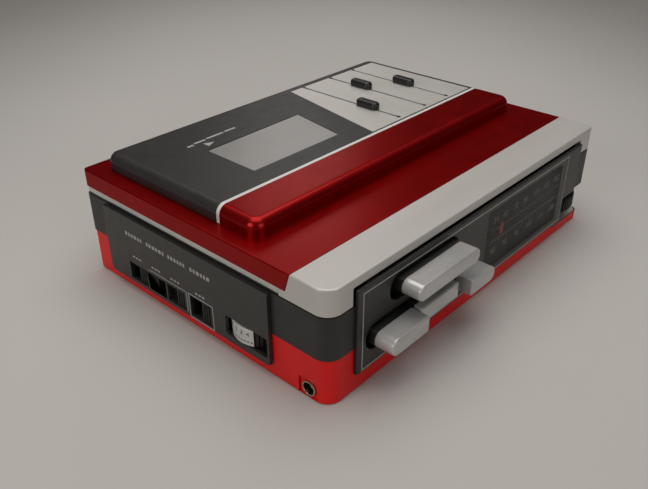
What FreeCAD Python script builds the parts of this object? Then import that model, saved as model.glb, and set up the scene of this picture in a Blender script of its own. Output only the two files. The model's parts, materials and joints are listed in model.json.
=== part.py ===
import FreeCAD, Part
import os
import math
import Sketcher
from FreeCAD import Vector, Placement, Rotation

# Portable cassette player, millimetres, +Z up.
# Origin: middle of the flat underside. X runs along the long side,
# -Y is the side with the keys and the dial, -X the side with the switches.

os.makedirs("parts", exist_ok=True)
doc = FreeCAD.newDocument("cassette_player")
sheet = doc.addObject("Spreadsheet::Sheet", "Params")
sheet.Label = "Params"


# ---------------------------------------------------------------- dimensions
class Size:
    """A length: its value, and the expression that gives it on the sheet."""

    def __init__(self, value, text):
        self.value = float(value)
        self.text = text

    def __add__(self, other):
        o = size(other)
        return Size(self.value + o.value, "(%s + %s)" % (self.text, o.text))

    def __radd__(self, other):
        return size(other) + self

    def __sub__(self, other):
        o = size(other)
        return Size(self.value - o.value, "(%s - %s)" % (self.text, o.text))

    def __rsub__(self, other):
        return size(other) - self

    def __mul__(self, other):
        o = size(other)
        return Size(self.value * o.value, "(%s * %s)" % (self.text, o.text))

    def __rmul__(self, other):
        return size(other) * self

    def __truediv__(self, other):
        o = size(other)
        return Size(self.value / o.value, "(%s / %s)" % (self.text, o.text))

    def __neg__(self):
        return Size(-self.value, "(-1 * %s)" % self.text)


def size(x):
    if isinstance(x, Size):
        return x
    return Size(x, "(%.5f)" % float(x))


CELL = [0]


def dim(alias, value):
    """Put a driving dimension on the sheet."""
    CELL[0] += 1
    n = CELL[0]
    sheet.set("A%d" % n, alias)
    sheet.set("B%d" % n, "%.5f" % value)
    sheet.setAlias("B%d" % n, alias)
    return Size(value, "Params." + alias)


def own(name, key, value):
    """A size of one piece: a plain number gets a cell of its own."""
    if isinstance(value, Size):
        return value
    return dim("%s_%s" % (name, key), value)


def bind(obj, prop, value):
    obj.setExpression(prop, size(value).text)


# ---------------------------------------------------------------- sketches
def near0(v):
    return abs(v.value) < 1e-6


def pin_point(sk, geo, pos, a, b):
    """Fix a sketch point at (a, b)."""
    for axis, v in (("DistanceX", a), ("DistanceY", b)):
        if near0(v):
            sk.addConstraint(Sketcher.Constraint("PointOnObject", geo, pos, -2 if axis == "DistanceX" else -1))
        else:
            i = sk.addConstraint(Sketcher.Constraint(axis, -1, 1, geo, pos, v.value))
            sk.setExpression("Constraints[%d]" % i, v.text)


def one_axis(sk, axis, geo, pos, v):
    if near0(v):
        sk.addConstraint(Sketcher.Constraint("PointOnObject", geo, pos, -2 if axis == "DistanceX" else -1))
    else:
        i = sk.addConstraint(Sketcher.Constraint(axis, -1, 1, geo, pos, v.value))
        sk.setExpression("Constraints[%d]" % i, v.text)


def draw_poly(sk, pts):
    n = len(pts)
    first = None
    ids = []
    for i in range(n):
        a, b = pts[i], pts[(i + 1) % n]
        g = sk.addGeometry(Part.LineSegment(Vector(a[0].value, a[1].value, 0), Vector(b[0].value, b[1].value, 0)), False)
        ids.append(g)
    for i in range(n):
        sk.addConstraint(Sketcher.Constraint("Coincident", ids[i], 2, ids[(i + 1) % n], 1))
    for i in range(n):
        pin_point(sk, ids[i], 1, pts[i][0], pts[i][1])


def draw_circle(sk, a, b, r):
    g = sk.addGeometry(Part.Circle(Vector(a.value, b.value, 0), Vector(0, 0, 1), r.value), False)
    pin_point(sk, g, 3, a, b)
    i = sk.addConstraint(Sketcher.Constraint("Radius", g, r.value))
    sk.setExpression("Constraints[%d]" % i, r.text)


def draw_rrect(sk, a0, a1, b0, b1, r):
    """A rectangle with four equal rounded corners."""
    x0, x1, y0, y1, q = a0.value, a1.value, b0.value, b1.value, r.value
    lines = [((x0 + q, y0), (x1 - q, y0)), ((x1, y0 + q), (x1, y1 - q)),
             ((x1 - q, y1), (x0 + q, y1)), ((x0, y1 - q), (x0, y0 + q))]
    arcs = [((x1 - q, y0 + q), -90, 0), ((x1 - q, y1 - q), 0, 90),
            ((x0 + q, y1 - q), 90, 180), ((x0 + q, y0 + q), 180, 270)]
    lid = [sk.addGeometry(Part.LineSegment(Vector(p[0], p[1], 0), Vector(s[0], s[1], 0)), False) for p, s in lines]
    aid = []
    for c, t0, t1 in arcs:
        circle = Part.Circle(Vector(c[0], c[1], 0), Vector(0, 0, 1), q)
        aid.append(sk.addGeometry(Part.ArcOfCircle(circle, math.radians(t0), math.radians(t1)), False))
    for i in range(4):
        sk.addConstraint(Sketcher.Constraint("Tangent", lid[i], 2, aid[i], 1))
        sk.addConstraint(Sketcher.Constraint("Tangent", aid[i], 2, lid[(i + 1) % 4], 1))
    sk.addConstraint(Sketcher.Constraint("Horizontal", lid[0]))
    sk.addConstraint(Sketcher.Constraint("Vertical", lid[1]))
    sk.addConstraint(Sketcher.Constraint("Horizontal", lid[2]))
    sk.addConstraint(Sketcher.Constraint("Vertical", lid[3]))
    for i in range(1, 4):
        sk.addConstraint(Sketcher.Constraint("Equal", aid[0], aid[i]))
    k = sk.addConstraint(Sketcher.Constraint("Radius", aid[0], q))
    sk.setExpression("Constraints[%d]" % k, r.text)
    one_axis(sk, "DistanceY", lid[0], 1, b0)
    one_axis(sk, "DistanceX", lid[1], 1, a1)
    one_axis(sk, "DistanceY", lid[2], 1, b1)
    one_axis(sk, "DistanceX", lid[3], 1, a0)


def draw_loop(sk, ax, ay, ra, bx, by, rb):
    """A belt line: two arcs joined by their common outer tangents."""
    dx, dy = bx.value - ax.value, by.value - ay.value
    dist = math.hypot(dx, dy)
    base = math.atan2(dy, dx)
    half = math.acos((ra.value - rb.value) / dist)
    up, dn = base + half, base - half

    def on(cx, cy, r, ang):
        return Vector(cx + r * math.cos(ang), cy + r * math.sin(ang), 0)

    pa_up, pb_up = on(ax.value, ay.value, ra.value, up), on(bx.value, by.value, rb.value, up)
    pa_dn, pb_dn = on(ax.value, ay.value, ra.value, dn), on(bx.value, by.value, rb.value, dn)
    l0 = sk.addGeometry(Part.LineSegment(pa_dn, pb_dn), False)
    cb = Part.Circle(Vector(bx.value, by.value, 0), Vector(0, 0, 1), rb.value)
    ab = sk.addGeometry(Part.ArcOfCircle(cb, dn, up), False)
    l1 = sk.addGeometry(Part.LineSegment(pb_up, pa_up), False)
    ca = Part.Circle(Vector(ax.value, ay.value, 0), Vector(0, 0, 1), ra.value)
    aa = sk.addGeometry(Part.ArcOfCircle(ca, up, dn + 2 * math.pi), False)
    sk.addConstraint(Sketcher.Constraint("Tangent", l0, 2, ab, 1))
    sk.addConstraint(Sketcher.Constraint("Tangent", ab, 2, l1, 1))
    sk.addConstraint(Sketcher.Constraint("Tangent", l1, 2, aa, 1))
    sk.addConstraint(Sketcher.Constraint("Tangent", aa, 2, l0, 1))
    pin_point(sk, aa, 3, ax, ay)
    pin_point(sk, ab, 3, bx, by)
    for g, r in ((aa, ra), (ab, rb)):
        i = sk.addConstraint(Sketcher.Constraint("Radius", g, r.value))
        sk.setExpression("Constraints[%d]" % i, r.text)


def draw(sk, name, key, shapes):
    """Shapes: (rect, a0, a1, b0, b1), (rrect, a0, a1, b0, b1, r),
    (circle, a, b, r), (poly, [(a, b), ...]) or (loop, ax, ay, ra, bx, by, rb)."""
    for j, sh in enumerate(shapes):
        kind, args = sh[0], sh[1:]
        tag = "%s_%s%s" % (name, key, "abcdefghijklmnop"[j])
        if kind == "rect":
            a0, a1, b0, b1 = [own(tag, k, v) for k, v in zip(("u0", "u1", "v0", "v1"), args)]
            draw_poly(sk, [(a0, b0), (a1, b0), (a1, b1), (a0, b1)])
        elif kind == "rrect":
            a0, a1, b0, b1, r = [own(tag, k, v) for k, v in zip(("u0", "u1", "v0", "v1", "rad"), args)]
            draw_rrect(sk, a0, a1, b0, b1, r)
        elif kind == "circle":
            a, b, r = [own(tag, k, v) for k, v in zip(("cu", "cv", "rad"), args)]
            draw_circle(sk, a, b, r)
        elif kind == "loop":
            vals = [own(tag, k, v) for k, v in zip(("au", "av", "arad", "bu", "bv", "brad"), args)]
            draw_loop(sk, *vals)
        elif kind == "poly":
            pts = [(own(tag, "u%d" % i, p[0]), own(tag, "v%d" % i, p[1])) for i, p in enumerate(args[0])]
            draw_poly(sk, pts)


POCKETS = []
NODES = []


# ---------------------------------------------------------------- part design
class Solid:
    """One PartDesign body. add() pads a profile between two levels of an
    axis, cut() pockets it: plane XY works along Z, XZ along Y, YZ along X."""

    def __init__(self, name, node=True, at=None):
        self.name = name
        self.body = doc.addObject("PartDesign::Body", name)
        self.body.Label = name
        self.k = 0
        self.planes = {f.Role: f for f in self.body.Origin.OriginFeatures}
        if at is not None:
            for ax, v in zip("xyz", at):
                bind(self.body, "Placement.Base." + ax, own(name, "at_" + ax, v))
        if node:
            NODES.append(self.body)

    def sketch(self, plane, off, shapes, key):
        sk = self.body.newObject("Sketcher::SketchObject", "%s_sk%d" % (self.name, self.k))
        sk.AttachmentSupport = [(self.planes[plane + "_Plane"], "")]
        sk.MapMode = "FlatFace"
        bind(sk, "AttachmentOffset.Base.z", off)
        draw(sk, self.name, key, shapes)
        return sk

    def add(self, plane, lo, hi, *shapes):
        self.k += 1
        key = "p%d" % self.k
        lo, hi = own(self.name, key + "_lo", lo), own(self.name, key + "_hi", hi)
        sk = self.sketch(plane, -hi if plane == "XZ" else lo, shapes, key)
        f = self.body.newObject("PartDesign::Pad", "%s_pad%d" % (self.name, self.k))
        f.Profile = sk
        bind(f, "Length", hi - lo)
        self.body.Tip = f
        return f

    def cut(self, plane, lo, hi, *shapes):
        self.k += 1
        key = "c%d" % self.k
        lo, hi = own(self.name, key + "_lo", lo), own(self.name, key + "_hi", hi)
        sk = self.sketch(plane, -lo if plane == "XZ" else hi, shapes, key)
        f = self.body.newObject("PartDesign::Pocket", "%s_pocket%d" % (self.name, self.k))
        f.Profile = sk
        bind(f, "Length", hi - lo)
        self.body.Tip = f
        POCKETS.append(f)
        return f

    def turn(self, pts):
        """Revolve a profile of (radius, height) about the body's own Z."""
        self.k += 1
        sk = self.sketch("XZ", Size(0, "0"), [("poly", pts)], "t%d" % self.k)
        f = self.body.newObject("PartDesign::Revolution", "%s_turn%d" % (self.name, self.k))
        f.Profile = sk
        f.ReferenceAxis = (sk, ["V_Axis"])
        f.Angle = 360.0
        self.body.Tip = f
        return f

    def ring(self, feature, count):
        """Repeat a feature round the body's own Z."""
        p = self.body.newObject("PartDesign::PolarPattern", "%s_ring%d" % (self.name, self.k))
        p.Originals = [feature]
        p.Axis = (self.planes.get("Z_Axis"), [""])
        p.Angle = 360.0
        bind(p, "Occurrences", own(self.name, "count%d" % self.k, count))
        self.body.Tip = p
        return p

    def fillet(self, radius, pick, kind="PartDesign::Fillet"):
        doc.recompute([self.body])
        base = self.body.Tip
        names = ["Edge%d" % (i + 1) for i, e in enumerate(base.Shape.Edges) if pick(e)]
        if not names:
            raise SystemExit("no edges to round on " + self.name)
        self.k += 1
        f = self.body.newObject(kind, "%s_round%d" % (self.name, self.k))
        f.Base = (base, names)
        prop = "Radius" if kind == "PartDesign::Fillet" else "Size"
        bind(f, prop, own(self.name, "round%d" % self.k, radius))
        self.body.Tip = f
        return f


def at_level(axis, value, tol=1e-3):
    """Edges that lie wholly in the plane axis = value."""
    i = "xyz".index(axis)

    def pick(e):
        b = e.BoundBox
        lo = (b.XMin, b.YMin, b.ZMin)[i]
        hi = (b.XMax, b.YMax, b.ZMax)[i]
        return abs(lo - value) < tol and abs(hi - value) < tol
    return pick


# ---------------------------------------------------------------- primitives
def place(o, name, x, y, z):
    for ax, v in (("x", x), ("y", y), ("z", z)):
        bind(o, "Placement.Base." + ax, own(name, "at_" + ax, v))


def box(name, x0, x1, y0, y1, z0, z1):
    o = doc.addObject("Part::Box", name)
    v = [own(name, k, n) for k, n in zip(("x0", "x1", "y0", "y1", "z0", "z1"), (x0, x1, y0, y1, z0, z1))]
    bind(o, "Length", v[1] - v[0])
    bind(o, "Width", v[3] - v[2])
    bind(o, "Height", v[5] - v[4])
    place(o, name, v[0], v[2], v[4])
    return o


def rod(name, axis, x, y, z, r, length):
    """A cylinder from (x, y, z) along +axis."""
    o = doc.addObject("Part::Cylinder", name)
    rot = {"z": Rotation(), "x": Rotation(Vector(0, 1, 0), 90), "y": Rotation(Vector(1, 0, 0), -90)}[axis]
    o.Placement = Placement(Vector(0, 0, 0), rot)
    bind(o, "Radius", own(name, "rad", r))
    bind(o, "Height", own(name, "len", length))
    place(o, name, x, y, z)
    return o


def node(o, name):
    o.Label = name
    NODES.append(o)
    return o


def fuse(name, parts):
    o = doc.addObject("Part::MultiFuse", name)
    o.Shapes = parts
    o.Refine = True
    return o


def cut(name, base, tools):
    t = tools[0] if len(tools) == 1 else fuse(name + "_tools", tools)
    o = doc.addObject("Part::Cut", name)
    o.Base = base
    o.Tool = t
    return o


def common(name, a, b):
    o = doc.addObject("Part::Common", name)
    o.Base = a
    o.Tool = b
    return o


def group(name, parts):
    o = doc.addObject("Part::Compound", name)
    o.Links = parts
    return o


# ---------------------------------------------------------------- case sizes
half_x = dim("case_half_length", 72.0)
half_y = dim("case_half_depth", 53.5)
corner = dim("case_corner_radius", 5.0)
right_r = dim("right_corner_radius", 2.5)
back_r = dim("back_left_corner_radius", 1.5)
wall = dim("case_wall", 2.0)
inset = dim("lower_shell_inset", 0.25)
z_split = dim("split_height", 15.2)
z_band = dim("band_top_height", 28.9)
z_lid = dim("lid_bottom_height", 29.2)
z_trim = dim("trim_top_height", 31.6)
z_rim = dim("rim_top_height", 37.5)
z_top = dim("block_top_height", 43.0)
z_plate = z_rim - wall
strip_y = dim("fascia_back_edge", -39.6)
floor_lo = dim("deck_floor_bottom", 19.0)
floor_hi = dim("deck_floor_top", 20.5)
hinge_y = dim("hinge_axis_y", 52.2)
hinge_z = dim("hinge_axis_z", 29.5)
knuckle = dim("hinge_knuckle_radius", 1.3)
pin_r = dim("hinge_pin_radius", 0.7)
pin_gap = dim("hinge_pin_clearance", 0.05)
cap_x = dim("capstan_x", 12.0)
cap_y = dim("capstan_y", -7.0)
motor_x = dim("motor_x", 50.0)
motor_y = dim("motor_y", -5.0)
sup_x = dim("supply_spindle_x", -40.0)
tak_x = dim("takeup_spindle_x", 2.45)
reel_y = dim("spindle_y", 18.0)
jack_y = dim("power_jack_y", -45.6)
jack_z = dim("power_jack_z", 2.95)
phone_y = dim("headphone_jack_y", 10.0)
phone_z = dim("headphone_jack_z", 8.0)
vol_x = dim("volume_wheel_x", -64.2)
vol_y = dim("volume_wheel_y", -21.5)
tune_x = dim("tuning_wheel_x", 59.5)
tune_y = dim("tuning_wheel_y", -43.2)
key_back = dim("key_cap_back", -56.4)
stem_end = dim("key_stem_end", -38.0)
panel_f = dim("panel_front", -54.6)
plate_f = dim("switch_plate_front", -73.2)
BOSSES = [(-64.5, 46.0), (-64.5, -37.0), (30.0, -40.0), (66.0, -20.0)]
BOSS = [(dim("screw_%s_x" % "abcd"[i], p[0]), dim("screw_%s_y" % "abcd"[i], p[1])) for i, p in enumerate(BOSSES)]
WINDOWS = [(22.6, 31.8, 5.6, 11.8), (13.2, 21.8, 5.6, 11.8), (3.6, 12.4, 5.6, 11.8), (-8.6, 1.2, 5.4, 12.6)]


# ---------------------------------------------------------------- lower shell
s = Solid("lower_shell")
lx, ly = half_x - inset, half_y - inset
s.add("XY", 0.0, z_split, ("rrect", -lx, lx, -ly, ly, corner - inset))
s.add("XY", 0.0, z_split, ("rrect", -20.0, lx, -ly, ly, right_r))
s.add("XY", 0.0, z_split, ("rrect", -lx, 0.0, -5.0, ly, back_r))
s.fillet(0.7, at_level("z", 0.0))
ix, iy = lx - wall, ly - wall
s.cut("XY", wall, z_split, ("rrect", -ix, ix, -iy, iy, 2.75))
# shelf and inner walls of the stepped corner
s.add("XY", 1.9, 3.6, ("rect", 44.5, 71.0, -52.6, -29.0))
s.add("XY", 1.9, z_split, ("rect", 44.5, 46.0, -52.6, -29.0))
s.add("XY", 1.9, z_split, ("rect", 44.5, 71.0, -30.5, -29.0))
# compartment walls
s.add("XY", 1.9, 17.0, ("rect", 11.0, 68.0, 17.5, 51.3))
s.cut("XY", wall, 17.5, ("rect", 12.5, 66.5, 19.5, 49.6))
# screw posts and board posts
for bx, by in BOSS:
    s.add("XY", 1.9, z_split, ("circle", bx, by, 3.4))
s.add("XY", 1.9, 3.5, ("circle", -46.0, -20.0, 2.0))
s.add("XY", 1.9, 3.5, ("circle", -46.0, 40.0, 2.0))
s.add("XY", 1.9, 3.5, ("circle", -6.0, 40.0, 2.0))
# the open stepped corner
s.cut("XY", 3.6, 15.3, ("rect", 50.0, 73.0, -55.0, -33.0))
# opening and sliding recess of the compartment in the underside
s.cut("XY", -0.1, 2.1, ("rect", 14.2, 64.8, 20.5, 48.6))
s.cut("XY", -0.1, 1.75, ("rect", 11.35, 66.75, 16.7, 54.0))
# screw holes with their counterbores
for bx, by in BOSS:
    s.cut("XY", -0.1, 15.3, ("circle", bx, by, 1.35))
    s.cut("XY", -0.1, 2.3, ("circle", bx, by, 2.9))
# front wall: key opening and dial opening
s.cut("XZ", -54.0, -51.0, ("rect", -59.0, -4.0, 11.0, 15.3))
s.cut("XZ", -54.0, -51.0, ("rect", -0.2, 49.2, 9.1, 15.3))
# left wall: switch openings, volume opening, power jack
s.cut("YZ", -72.5, -69.0, ("rect", 3.0, 32.4, 5.0, 12.4), ("rect", -9.2, 1.8, 4.6, 13.2),
      ("rect", -32.2, -13.0, 6.2, 14.0))
s.cut("YZ", -72.5, -71.0, ("rect", -49.4, -42.2, 0.3, 6.1))
s.cut("YZ", -72.5, -59.5, ("circle", jack_y, jack_z, 2.5))
# right wall: headphone jack
s.cut("YZ", 69.0, 72.5, ("circle", phone_y, phone_z, 3.1))

# ---------------------------------------------------------------- black band
s = Solid("middle_frame")
s.add("XY", z_split, z_band, ("rrect", -half_x, half_x, -half_y, half_y, corner))
s.add("XY", z_split, z_band, ("rrect", -20.0, half_x, -half_y, half_y, right_r))
s.add("XY", z_split, z_band, ("rrect", -half_x, 0.0, -5.0, half_y, back_r))
s.cut("XY", z_split, z_band, ("rrect", wall - half_x, half_x - wall, wall - half_y, half_y - wall, 3.0))
s.add("XY", floor_lo, floor_hi, ("rect", -70.6, 34.0, -45.5, 52.0))
s.add("XY", 17.2, floor_lo, ("rect", 10.5, 70.6, 17.5, 52.0))
s.add("XY", z_split, 16.4, ("rect", 45.0, 70.6, -52.4, -29.5))
for i, (bx, by) in enumerate(BOSS):
    s.add("XY", z_split, 19.6, ("circle", bx, by, 3.2))
s.add("XY", z_split, 19.6, ("rect", 66.0, 70.6, -21.0, -19.0))
s.add("YZ", -60.0, -40.0, ("circle", hinge_y, hinge_z, knuckle))
s.add("YZ", 40.0, 60.0, ("circle", hinge_y, hinge_z, knuckle))
for side in (-1, 1):
    lo, hi = (-54.1, -45.9) if side < 0 else (45.9, 54.1)
    s.cut("YZ", lo, hi, ("rect", 50.0, 54.5, 28.0, 32.0))
s.cut("YZ", -60.5, 60.5, ("circle", hinge_y, hinge_z, pin_r + pin_gap))
for bx, by in BOSS:
    s.cut("XY", 15.0, 18.6, ("circle", bx, by, 1.35))
# floor holes: spindles, capstan bearing, head lug, tuning shaft
s.cut("XY", 18.9, 20.6, ("circle", sup_x, reel_y, 1.6), ("circle", tak_x, reel_y, 1.6),
      ("circle", cap_x, cap_y, 2.0), ("rect", -34.5, -29.5, -39.0, -31.0))
s.cut("XY", 15.0, 16.6, ("circle", tune_x, tune_y, 1.8))
# front wall open behind the control panel
s.cut("XZ", -54.0, -51.0, ("rect", -59.0, 49.5, 15.1, 30.5))

# ---------------------------------------------------------------- control panel
s = Solid("control_panel")
s.add("XZ", panel_f, -half_y, ("poly", [(-62.0, 6.5), (52.5, 6.5), (52.5, z_split), (62.0, z_split),
                                        (62.0, 33.9), (-62.0, 33.9)]))
s.cut("XZ", -55.0, -53.0, ("rrect", -48.7, -16.3, 22.8, 31.2, 4.1), ("rrect", -58.4, -5.0, 11.8, 20.2, 4.1))
s.cut("XZ", -55.0, -53.0, ("rrect", 0.4, 48.1, 9.5, 30.5, 1.0))
s.fillet(0.4, at_level("y", -54.6))

s = Solid("dial_lens")
s.add("XZ", -54.55, -54.05, ("rrect", 0.5, 48.0, 9.6, 30.4, 0.9))

s = Solid("dial_scale")
s.add("XZ", -53.0, -52.4, ("rect", 0.0, 49.0, 9.3, 30.7))
s.add("XZ", -53.5, -52.9, ("rect", 48.1, 49.0, 9.3, 30.7))
s.cut("XZ", -53.6, -52.3, ("rrect", 1.6, 47.8, 20.4, 21.6, 0.5))

# ---------------------------------------------------------------- switch plate
s = Solid("switch_plate")
s.add("YZ", plate_f, -half_x, ("rrect", -32.6, 43.0, 4.3, 28.5, 0.8))
for j, w in enumerate(WINDOWS):
    s.cut("YZ", -74.0, -71.0, ("rect", w[0], w[1], w[2], w[3]))
s.cut("YZ", -74.0, -71.0, ("rrect", -31.8, -14.6, 6.7, 13.3, 0.8))

# ---------------------------------------------------------------- keys
KEYS = [  # name, x0, x1, z0, z1, front, squared ends
    ("stop_key", -46.6, -17.2, 25.4, 30.4, -62.6, ""),
    ("rewind_key", -57.4, -40.9, 13.6, 19.0, -62.7, "right"),
    ("play_key", -40.3, -21.6, 13.6, 19.0, -59.4, "both"),
    ("fast_forward_key", -19.2, -6.2, 13.6, 19.0, -62.2, "left"),
]
for name, x0, x1, z0, z1, front, square in KEYS:
    ax0, ax1 = dim(name + "_left", x0), dim(name + "_right", x1)
    az0, az1 = dim(name + "_bottom", z0), dim(name + "_top", z1)
    af = dim(name + "_front", front)
    s = Solid(name + "_cap")
    if square == "both":
        s.add("XZ", af, key_back, ("rrect", ax0, ax1, az0, az1, 0.7))
    else:
        s.add("XZ", af, key_back, ("rrect", ax0, ax1, az0, az1, (z1 - z0) / 2 - 0.03))
        if square == "right":
            s.add("XZ", af, key_back, ("rrect", ax1 - 8.0, ax1, az0, az1, 0.7))
        if square == "left":
            s.add("XZ", af, key_back, ("rrect", ax0, ax0 + 8.0, az0, az1, 0.7))
    s.fillet(0.6, at_level("y", front))
    s = Solid(name + "_stem")
    s.add("XZ", key_back, stem_end, ("rect", ax0 + 1.0, ax1 - 1.0, az0 + 0.5, az1 - 0.5))

# guide block with a slot for each stem
s = Solid("key_guide")
s.add("XZ", -48.4, -45.5, ("rect", -60.0, -3.0, 10.5, 21.0))
s.add("XZ", -48.4, -45.5, ("rect", -52.0, -13.5, 20.9, 31.0))
for name, x0, x1, z0, z1, front, square in KEYS:
    s.cut("XZ", -48.6, -45.3, ("rect", x0 + 0.7, x1 - 0.7, z0 + 0.2, z1 - 0.2))

# flat return spring: a strip with one finger for each lower stem
s = Solid("key_return_spring")
s.add("XZ", -33.7, -33.2, ("rect", -54.0, -6.0, 9.5, 12.0))
s.add("XZ", -33.7, -33.2, ("rect", -54.0, -52.5, 11.9, 19.0))
s.add("XZ", -33.7, -33.2, ("rect", -51.0, -47.0, 11.9, 18.4))
s.add("XZ", -33.7, -33.2, ("rect", -28.0, -24.0, 11.9, 18.4))
s.add("XZ", -33.7, -33.2, ("rect", -16.0, -12.0, 11.9, 18.4))
s.add("XZ", -33.7, -33.2, ("rect", -7.5, -6.0, 11.9, 19.0))

# ---------------------------------------------------------------- tape deck
s = Solid("deck_plate")
s.add("XY", 13.5, 14.7, ("rect", -50.0, 62.0, -28.8, 15.0))
s.cut("XY", 13.4, 14.8, ("circle", motor_x, motor_y, 11.05), ("circle", cap_x, cap_y, 1.95))

s = Solid("capstan_bearing", at=(cap_x, cap_y, 0.0))
s.turn([(1.05, 13.0), (1.9, 13.0), (1.9, 20.5), (2.8, 20.5), (2.8, 20.9), (1.05, 20.9)])

s = Solid("drive_motor", at=(motor_x, motor_y, 0.0))
s.turn([(1.05, 11.5), (3.0, 11.5), (3.0, 12.2), (10.4, 12.2), (11.0, 12.8), (11.0, 27.4), (10.4, 28.0),
        (0.0, 28.0), (0.0, 21.0), (1.05, 21.0)])

s = Solid("motor_pulley", at=(motor_x, motor_y, 0.0))
s.turn([(0.0, 7.0), (4.4, 7.0), (4.4, 8.0), (4.0, 8.6), (4.0, 10.4), (4.4, 11.0), (4.4, 11.3), (1.0, 11.3),
        (1.0, 20.6), (0.0, 20.6)])
s.cut("XY", 6.9, 11.4, ("circle", 2.6, 0.0, 0.6))

s = Solid("capstan_flywheel", at=(cap_x, cap_y, 0.0))
s.turn([(0.0, 6.0), (1.0, 6.0), (1.0, 8.0), (14.6, 8.0), (15.0, 8.4), (15.0, 11.6), (14.6, 12.0), (11.0, 12.0),
        (11.0, 10.6), (4.0, 10.6), (4.0, 12.0), (1.0, 12.0), (1.0, 31.0), (0.0, 31.0)])
s.cut("XY", 10.0, 12.1, ("circle", 12.8, 0.0, 0.5))

s = Solid("drive_belt")
s.add("XY", 8.9, 10.1, ("loop", cap_x, cap_y, 16.0, motor_x, motor_y, 5.0))
s.cut("XY", 8.9, 10.1, ("loop", cap_x, cap_y, 15.15, motor_x, motor_y, 4.15))

s = Solid("head_plate")
s.add("XY", 21.0, 22.0, ("poly", [(-34.5, -36.0), (16.0, -36.0), (16.0, -13.6), (8.0, -13.6), (8.0, -20.0),
                                  (-10.0, -20.0), (-10.0, -17.0), (-34.5, -17.0)]))
s.add("XZ", -37.8, -36.0, ("rect", -33.5, -30.5, 14.2, 21.0))
s.add("XZ", -36.8, -35.2, ("rect", -33.5, -30.5, 19.8, 22.0))
s.add("XY", 21.9, 31.5, ("circle", cap_x, -16.4, 0.8))

s = Solid("tape_head")
s.add("XY", 22.0, 33.0, ("rrect", -24.0, -13.0, -28.0, -18.0, 2.5))
s.cut("XZ", -20.2, -17.9, ("rect", -25.0, -12.0, 22.0, 23.4))

s = Solid("pinch_roller", at=(cap_x, -16.4, 0.0))
s.turn([(0.85, 22.3), (1.8, 22.3), (1.8, 23.0), (4.2, 23.0), (4.5, 23.3), (4.5, 30.7), (4.2, 31.0), (0.85, 31.0)])
s.cut("XY", 30.2, 31.1, ("circle", 2.8, 0.0, 0.5))

for name, px in (("supply_spindle", sup_x), ("takeup_spindle", tak_x)):
    s = Solid(name, at=(px, reel_y, 0.0))
    s.turn([(0.0, 16.0), (1.5, 16.0), (1.5, 20.9), (9.0, 20.9), (9.0, 22.5), (3.0, 22.5), (3.0, 28.2), (1.8, 29.2),
            (0.0, 29.2)])
    fin = s.add("XY", 22.4, 27.6, ("rect", 2.0, 4.1, -0.45, 0.45))
    s.ring(fin, 6)

# ---------------------------------------------------------------- electronics
parts = [box("board_base", -50.0, -1.0, -26.0, 44.0, 3.5, 5.1),
         box("board_chip", -34.0, -20.0, -8.0, -1.5, 5.1, 7.4),
         box("board_chip_two", -34.0, -24.0, 8.0, 14.0, 5.1, 7.2),
         box("board_filter", -46.0, -39.0, -4.0, 3.0, 5.1, 12.0),
         box("board_filter_two", -46.0, -39.0, 6.0, 13.0, 5.1, 12.0),
         rod("board_cap_one", "z", -14.0, 6.0, 5.1, 3.0, 7.0),
         rod("board_cap_two", "z", -14.0, 15.0, 5.1, 3.0, 7.0),
         rod("board_cap_three", "z", -22.0, 24.0, 5.1, 4.0, 8.0)]
node(fuse("main_board", parts), "main_board")

node(box("switch_board", -65.0, -63.6, -9.5, 33.0, 3.8, 13.4), "switch_board")
bodies = []
for j, w in enumerate(WINDOWS):
    outer = box("switch_can_%s" % "abcd"[j], -69.5, -65.0, w[0] + 0.3, w[1] - 0.3, 4.8, 12.6)
    slot = box("switch_slot_%s" % "abcd"[j], -69.6, -67.5, w[0] + 1.2, w[1] - 1.2, 8.0, 9.4)
    bodies.append(cut("switch_body_%s" % "abcd"[j], outer, [slot]))
node(group("switch_bodies", bodies), "switch_bodies")

# slide switch knobs: a ribbed cap and a thin blade into the switch
KNOBS = [("mode_switch_knob_a", 24.9 + 0.0, 5.6, 11.8), ("mode_switch_knob_b", 19.4, 5.6, 11.8),
         ("mode_switch_knob_c", 6.0, 5.6, 11.8), ("mode_switch_knob_d", -6.0, 5.2, 12.6)]
for name, cy, z0, z1 in KNOBS:
    s = Solid(name)
    ky = dim(name + "_centre", cy)
    s.add("YZ", -72.9, -70.2, ("rect", ky - 2.2, ky + 2.2, z0 + 0.4, z1 - 0.4))
    s.add("YZ", -70.3, -67.8, ("rect", ky - 0.6, ky + 0.6, 8.2, 9.2))
    s.cut("YZ", -73.0, -72.5, ("rect", ky - 1.3, ky - 0.9, z0 + 0.2, z1 - 0.2), ("rect", ky - 0.2, ky + 0.2, z0 + 0.2, z1 - 0.2),
          ("rect", ky + 0.9, ky + 1.3, z0 + 0.2, z1 - 0.2))

s = Solid("volume_wheel", at=(vol_x, vol_y, 0.0))
s.turn([(1.55, 7.2), (9.1, 7.2), (9.5, 7.6), (9.5, 12.0), (9.1, 12.4), (1.55, 12.4)])
notch = s.cut("XY", 7.1, 12.5, ("rect", 9.2, 9.8, -0.28, 0.28))
s.ring(notch, 36)

pot = fuse("volume_pot", [rod("pot_shaft", "z", vol_x, vol_y, 6.8, 1.5, 6.4),
                          box("pot_case", vol_x - 5.2, vol_x + 7.0, vol_y - 6.0, vol_y + 6.0, 12.8, 16.0),
                          box("pot_mount", vol_x - 3.0, vol_x + 5.0, vol_y - 3.0, vol_y + 3.0, 15.9, floor_lo)])
node(pot, "volume_pot")

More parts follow.
